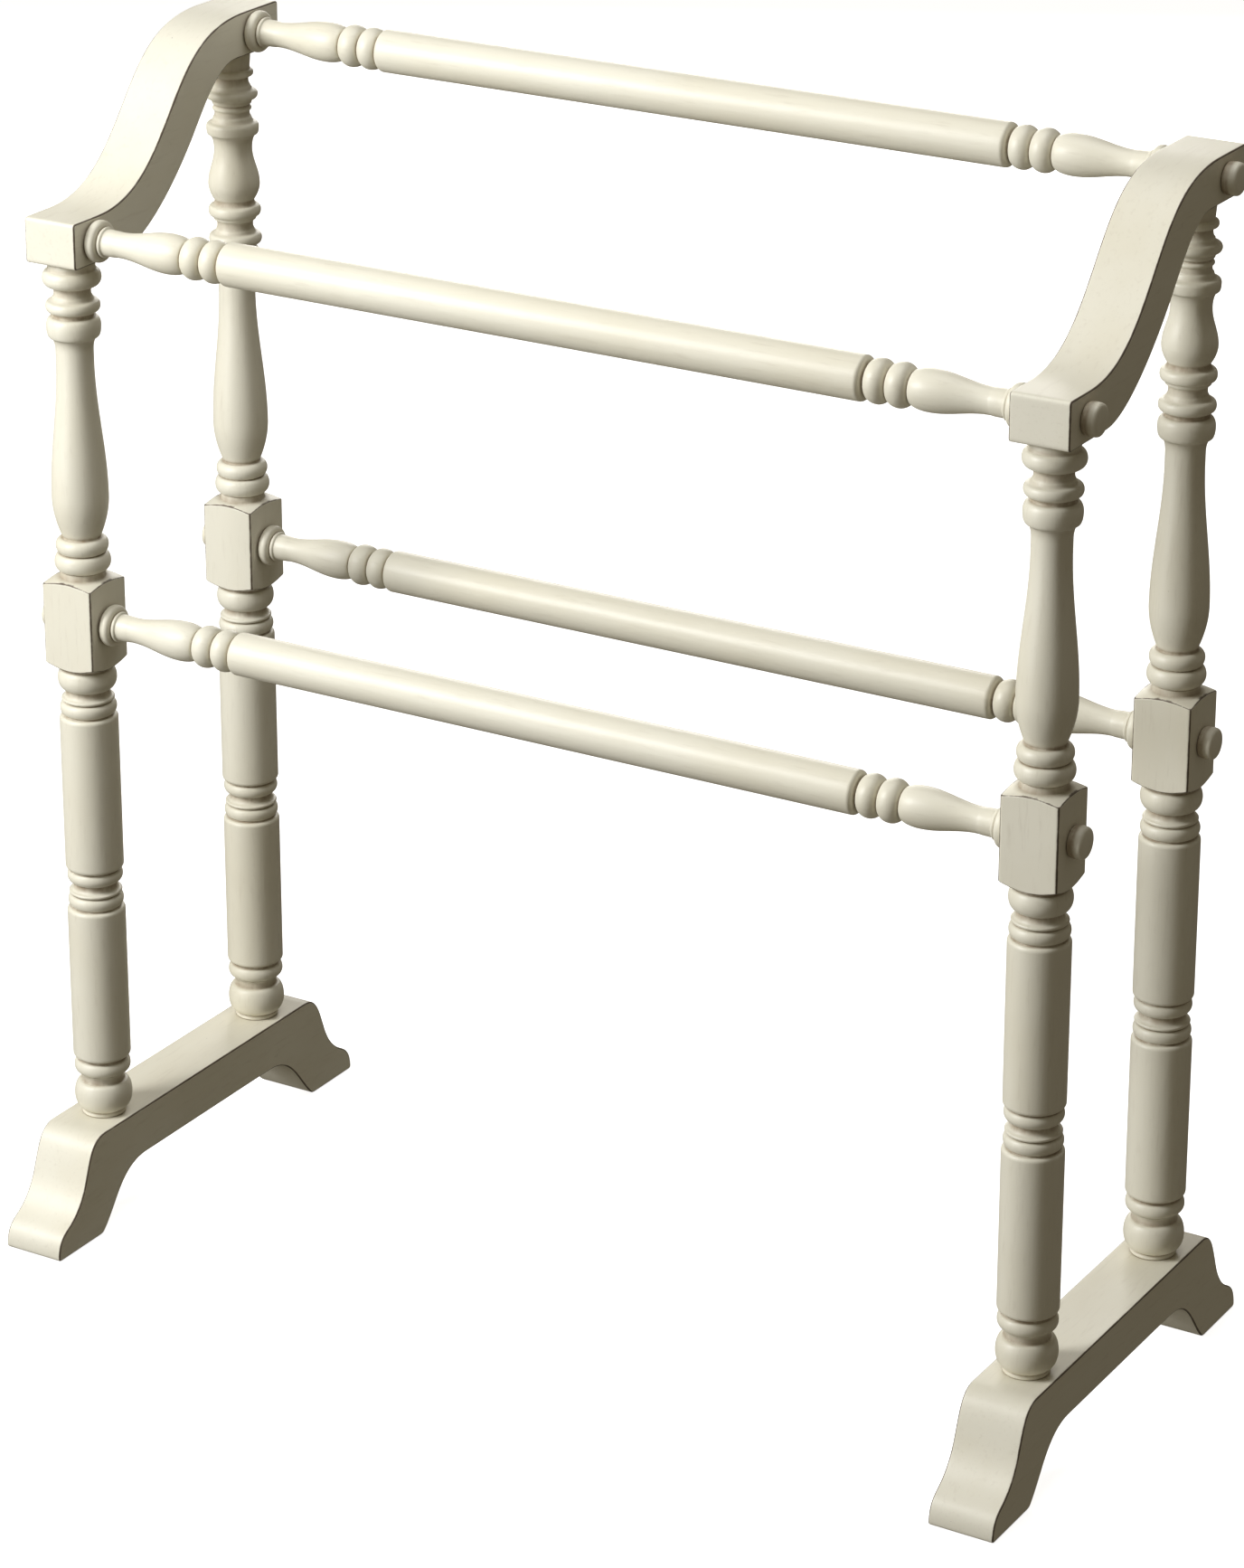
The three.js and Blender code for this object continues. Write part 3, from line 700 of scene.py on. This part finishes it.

# %% [markdown]
# ## Button caps
# A turned button hides each rail screw. It is a small disc with a rounded rim and a very slightly domed
# face, standing proud of the post. A Bevel modifier on a disc would give every rim the same curve; a fine
# profile spun round X can also darken the whole side wall with the glaze colour, as painted shade.

# %% Spin the caps
def spin_cap(name, node, sign, seed):
    low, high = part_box(node)
    centre = (low + high) / 2
    radius = (high.z - low.z) / 2 / MM
    start = (low.x if sign > 0 else -high.x) / MM
    face = (high.x if sign > 0 else -low.x) / MM
    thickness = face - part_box("right_front_post")[1].x / MM - GAP
    cap = Turning(radius, start, 3.4)
    cap.line(face - thickness - start, 3.4).line(0.0, 1.0)
    cap.quarter(thickness * 0.45, 0.0, True)
    cap.line(thickness * 0.55 - 2.6, 0.1).quarter(2.2, 2.0, False)
    cap.path += [(face - 0.25, radius * 0.7), (face - 0.05, radius * 0.35), (face, 0.3)]
    along, rim, _ = painted_outline(cap.path)
    angles = np.linspace(0, 2 * math.pi, CAP_COLUMNS, endpoint=False)
    y = np.outer(rim, np.cos(angles)).ravel() * MM
    z = np.outer(rim, np.sin(angles)).ravel() * MM * sign
    x = np.repeat(along, len(angles)) * MM
    points = np.stack([x * sign, y + centre.y, z + centre.z], 1)
    # painted shade: the whole side wall takes the tan, carried in the same attribute as the posts' hollows
    wall_shade = np.clip((face - 3.2 - along) / 3.0, 0, 1)  # 1 on the side wall, 0 on the face
    spread = {
        "hollow": np.repeat(wall_shade, len(angles)),
        "worn_edge": np.zeros(len(x)),
        "grain_place": grain_place(y, x, z, seed),
    }
    made = link_mesh(name, points, ring_faces(len(along), len(angles)), spread)
    return take_place(made, node)


caps = []
for side, sign in SIDES:
    for rail_name in RAIL_NAMES:
        node = side + "_" + rail_name + "_cap"
        caps.append(spin_cap("turned_" + node, node, sign, 50 + len(caps)))
print(len(caps), "caps")

# %% [markdown]
# ## Paint, glaze, painted shade and worn edges
# The finish is three thin layers: a satin antique white paint, a thin tan glaze that is wiped off and
# stays only in the hollows, and edges rubbed through to brown. The same tan is also painted where shade
# falls: in the hollows, in the creases and joints between pieces, and over the side walls of the caps.
# The hollows and edges were stored on the mesh as attributes, and an ambient occlusion node finds the
# joints and creases where shade falls. Noise, drawn out along the grain, breaks every mask up so that no
# line looks printed.

# %% Small helpers for shader nodes
def node_of(tree, kind, **settings):
    made = tree.nodes.new(kind)
    for key, value in settings.items():
        setattr(made, key, value)
    return made


def noise_along_grain(tree, place, across, along, detail, roughness=0.55):
    """Noise in cycles per metre across and along the grain."""
    scaled = node_of(tree, "ShaderNodeMapping")
    scaled.inputs["Scale"].default_value = (across, across, along)
    tree.links.new(place, scaled.inputs["Vector"])
    noise = node_of(tree, "ShaderNodeTexNoise")
    noise.inputs["Scale"].default_value = 1.0
    noise.inputs["Detail"].default_value = detail
    noise.inputs["Roughness"].default_value = roughness
    tree.links.new(scaled.outputs["Vector"], noise.inputs["Vector"])
    return noise.outputs["Fac"]


def ramp(tree, value, low, high, to_low=0.0, to_high=1.0):
    """A value stretched from one range to another, and kept inside it."""
    made = node_of(tree, "ShaderNodeMapRange", clamp=True)
    made.interpolation_type = "SMOOTHSTEP"
    limits = {"From Min": low, "From Max": high, "To Min": to_low, "To Max": to_high}
    for key, number in limits.items():
        made.inputs[key].default_value = number
    tree.links.new(value, made.inputs["Value"])
    return made.outputs["Result"]


def combine(tree, operation, a, b):
    """A math node between two sockets, or a socket and a number."""
    made = node_of(tree, "ShaderNodeMath", operation=operation, use_clamp=False)
    for socket, value in zip(made.inputs, (a, b)):
        if isinstance(value, (int, float)):
            socket.default_value = value
        else:
            tree.links.new(value, socket)
    return made.outputs[0]


def tint(tree, amount, below, above):
    """One colour over another by an amount. Colours are sockets or linear RGB triples."""
    made = node_of(tree, "ShaderNodeMix", data_type="RGBA")
    tree.links.new(amount, made.inputs["Factor"])
    for name, colour in (("A", below), ("B", above)):
        socket = next(s for s in made.inputs if s.name == name and s.type == "RGBA")
        if isinstance(colour, tuple):
            socket.default_value = (*colour, 1.0)
        else:
            tree.links.new(colour, socket)
    return next(s for s in made.outputs if s.type == "RGBA")


# %% Mix the antique white paint
PAINT = (0.800, 0.772, 0.655)
PAINT_WARM = (0.740, 0.698, 0.556)
# tan of the glaze, also used as painted shade in hollows, creases, joints and on the caps' side walls
GLAZE_AND_SHADE_TAN = (0.240, 0.160, 0.080)
RUBBED_BROWN = (0.058, 0.029, 0.013)
MOST_GLAZE_AND_SHADE = 0.80
MOST_BROWN = 0.90


def make_paint():
    paint = bpy.data.materials.new("antique_white_paint")
    paint.use_nodes = True
    tree = paint.node_tree
    shader = tree.nodes["Principled BSDF"]
    place = node_of(tree, "ShaderNodeAttribute", attribute_name="grain_place").outputs["Vector"]
    hollow = node_of(tree, "ShaderNodeAttribute", attribute_name="hollow").outputs["Fac"]
    edge = node_of(tree, "ShaderNodeAttribute", attribute_name="worn_edge").outputs["Fac"]
    blotch = noise_along_grain(tree, place, 16, 7, 3)
    streak = noise_along_grain(tree, place, 380, 45, 4, 0.6)
    fine = noise_along_grain(tree, place, 900, 500, 3, 0.6)
    broken = noise_along_grain(tree, place, 120, 60, 4, 0.7)
    # paint with soft blotches and fine brush streaks
    body = tint(tree, ramp(tree, blotch, 0.35, 0.75, 0.0, 0.7), PAINT, PAINT_WARM)
    body = tint(tree, ramp(tree, streak, 0.52, 0.80, 0.0, 0.12), body, GLAZE_AND_SHADE_TAN)
    # glaze in the hollows, and painted shade in the hollows, creases and joints, where the ambient
    # occlusion finds shade
    corner = node_of(tree, "ShaderNodeAmbientOcclusion", samples=8)
    corner.inputs["Distance"].default_value = 5 * MM
    joint_shade = ramp(tree, corner.outputs["AO"], 0.62, 0.12)
    depth = combine(tree, "MAXIMUM", ramp(tree, hollow, 0.08, 0.95), joint_shade)
    patchy = ramp(tree, broken, 0.25, 0.70, 0.45, 1.0)
    glaze_and_shade = combine(tree, "MULTIPLY", depth, combine(tree, "MULTIPLY", patchy, MOST_GLAZE_AND_SHADE))
    body = tint(tree, glaze_and_shade, body, GLAZE_AND_SHADE_TAN)
    # edges rubbed through
    wear = combine(tree, "ADD", edge, combine(tree, "MULTIPLY", broken, 1.1))
    rubbed = combine(tree, "MULTIPLY", ramp(tree, wear, 0.96, 1.42), MOST_BROWN)
    body = tint(tree, rubbed, body, RUBBED_BROWN)
    # rare small specks
    speck = noise_along_grain(tree, place, 260, 260, 2, 0.5)
    body = tint(tree, ramp(tree, speck, 0.795, 0.84, 0.0, 0.55), body, RUBBED_BROWN)
    tree.links.new(body, shader.inputs["Base Color"])
    # satin on the paint, duller where glaze lies
    dull = combine(tree, "ADD", fine, combine(tree, "MULTIPLY", depth, 0.6))
    tree.links.new(ramp(tree, dull, 0.2, 1.3, 0.40, 0.66), shader.inputs["Roughness"])
    shader.inputs["Specular IOR Level"].default_value = 0.5
    shader.inputs["Coat Weight"].default_value = 0.10
    shader.inputs["Coat Roughness"].default_value = 0.30
    # brush marks, grain that telegraphs through, and slow waves of hand sanding
    wave = noise_along_grain(tree, place, 45, 22, 2)
    height = combine(tree, "ADD", combine(tree, "MULTIPLY", streak, 0.22), wave)
    height = combine(tree, "ADD", height, combine(tree, "MULTIPLY", fine, 0.10))
    bump = node_of(tree, "ShaderNodeBump")
    bump.inputs["Strength"].default_value = 0.55
    bump.inputs["Distance"].default_value = 0.35 * MM
    tree.links.new(height, bump.inputs["Height"])
    tree.links.new(bump.outputs["Normal"], shader.inputs["Normal"])
    return paint


antique_white_paint = make_paint()
for piece in posts + rails + arms + feet + caps:
    piece.data.materials.append(antique_white_paint)
print(len(antique_white_paint.node_tree.nodes), "nodes in the paint")

# %% [markdown]
# ## Screws
# The screws are almost out of sight, in the holes under the feet and behind the caps, so the CAD shapes
# stay. They get a zinc finish: metal with faint turning marks and a rougher, slightly yellow film.

# %% Plate the screws
ZINC = (0.62, 0.61, 0.58)
YELLOWED_ZINC = (0.56, 0.52, 0.42)


def make_zinc():
    zinc = bpy.data.materials.new("zinc_plated_steel")
    zinc.use_nodes = True
    tree = zinc.node_tree
    shader = tree.nodes["Principled BSDF"]
    place = node_of(tree, "ShaderNodeTexCoord").outputs["Object"]
    film = noise_along_grain(tree, place, 300, 300, 3)
    marks = noise_along_grain(tree, place, 200, 3000, 2)
    colour = tint(tree, ramp(tree, film, 0.3, 0.7), ZINC, YELLOWED_ZINC)
    tree.links.new(colour, shader.inputs["Base Color"])
    tree.links.new(ramp(tree, marks, 0.2, 0.8, 0.28, 0.5), shader.inputs["Roughness"])
    shader.inputs["Metallic"].default_value = 1.0
    return zinc


zinc_plated_steel = make_zinc()
for node, slot_name in frame_slots.items():
    if slot_name == "screw_steel":
        screw_mesh = frame["nodes"][node].data
        screw_mesh.materials.clear()
        screw_mesh.materials.append(zinc_plated_steel)
print("screws plated")

# %% [markdown]
# ## Floor and light
# The rack stands on a plain pale floor that fills the view. Furniture studios often use a lit table, so
# the floor glows and hardly darkens with distance. It is hidden from bounced light and from reflections,
# as if black cards kept its glow off the wood; otherwise the undersides of the beads would turn white and
# lose their form. It lies a hair below the toe pads, so that the two flat faces don't flicker.
#
# A tall soft lamp at the front left models every turning and leaves the right-hand faces in shade. A
# smaller one stands close to the left side frame and makes the left of the rack a little brighter than the
# right. A weak low lamp opens the undersides of the rails, a wide one hangs above, and one behind lights
# the back. A warm dim sky keeps the shade readable. The lamps themselves are hidden from the camera.

# %% Lay the floor
FLOOR_GREY = 0.86
FLOOR_GLOW = 0.84
BELOW_PADS = 0.3 * MM


def make_floor():
    bpy.ops.mesh.primitive_plane_add(size=40.0, location=(0.0, 0.0, -BELOW_PADS))
    floor = bpy.context.object
    floor.name = "floor"
    plain = bpy.data.materials.new("pale_floor")
    plain.use_nodes = True
    shader = plain.node_tree.nodes["Principled BSDF"]
    shader.inputs["Base Color"].default_value = (FLOOR_GREY, FLOOR_GREY, FLOOR_GREY, 1.0)
    shader.inputs["Roughness"].default_value = 0.9
    shader.inputs["Specular IOR Level"].default_value = 0.1
    shader.inputs["Emission Color"].default_value = (1.0, 1.0, 1.0, 1.0)
    shader.inputs["Emission Strength"].default_value = FLOOR_GLOW
    floor.data.materials.append(plain)
    floor.visible_diffuse = False
    floor.visible_glossy = False
    return floor


floor = make_floor()
print("floor laid")

# %% Hang the lamps
def hang_lamp(name, place, aim, size, watts, colour=(1.0, 1.0, 1.0)):
    data = bpy.data.lights.new(name, "AREA")
    data.shape = "RECTANGLE"
    data.size, data.size_y = size
    data.energy = watts
    data.color = colour
    lamp = bpy.data.objects.new(name, data)
    lamp.location = place
    lamp.rotation_euler = (Vector(aim) - Vector(place)).to_track_quat("-Z", "Y").to_euler()
    lamp.visible_camera = False
    bpy.context.scene.collection.objects.link(lamp)
    return lamp


MIDDLE_OF_RACK = (0.0, 0.0, 0.4)
COOL = (0.97, 0.99, 1.0)
WARM = (1.0, 0.98, 0.94)
hang_lamp("key", (-1.50, -1.75, 1.75), MIDDLE_OF_RACK, (0.75, 1.2), 46.0)
hang_lamp("near", (-0.65, -1.0, 1.15), (-0.1, 0.0, 0.45), (0.45, 0.6), 5.4, COOL)
hang_lamp("low", (-0.9, -1.5, 0.3), (0.0, 0.0, 0.6), (0.8, 0.4), 5.5)
hang_lamp("behind", (-1.5, 2.8, 1.2), MIDDLE_OF_RACK, (1.2, 1.2), 24.0, WARM)
hang_lamp("above", (0.2, 0.0, 2.2), MIDDLE_OF_RACK, (1.4, 0.8), 10.5)

SKY_COLOUR = (1.0, 0.88, 0.66)
SKY_STRENGTH = 0.130
sky = bpy.data.worlds.new("sky")
sky.use_nodes = True
background = sky.node_tree.nodes["Background"]
background.inputs["Color"].default_value = (*SKY_COLOUR, 1.0)
background.inputs["Strength"].default_value = SKY_STRENGTH
bpy.context.scene.world = sky
bpy.context.scene.view_settings.view_transform = "Standard"
print("lamps hung")
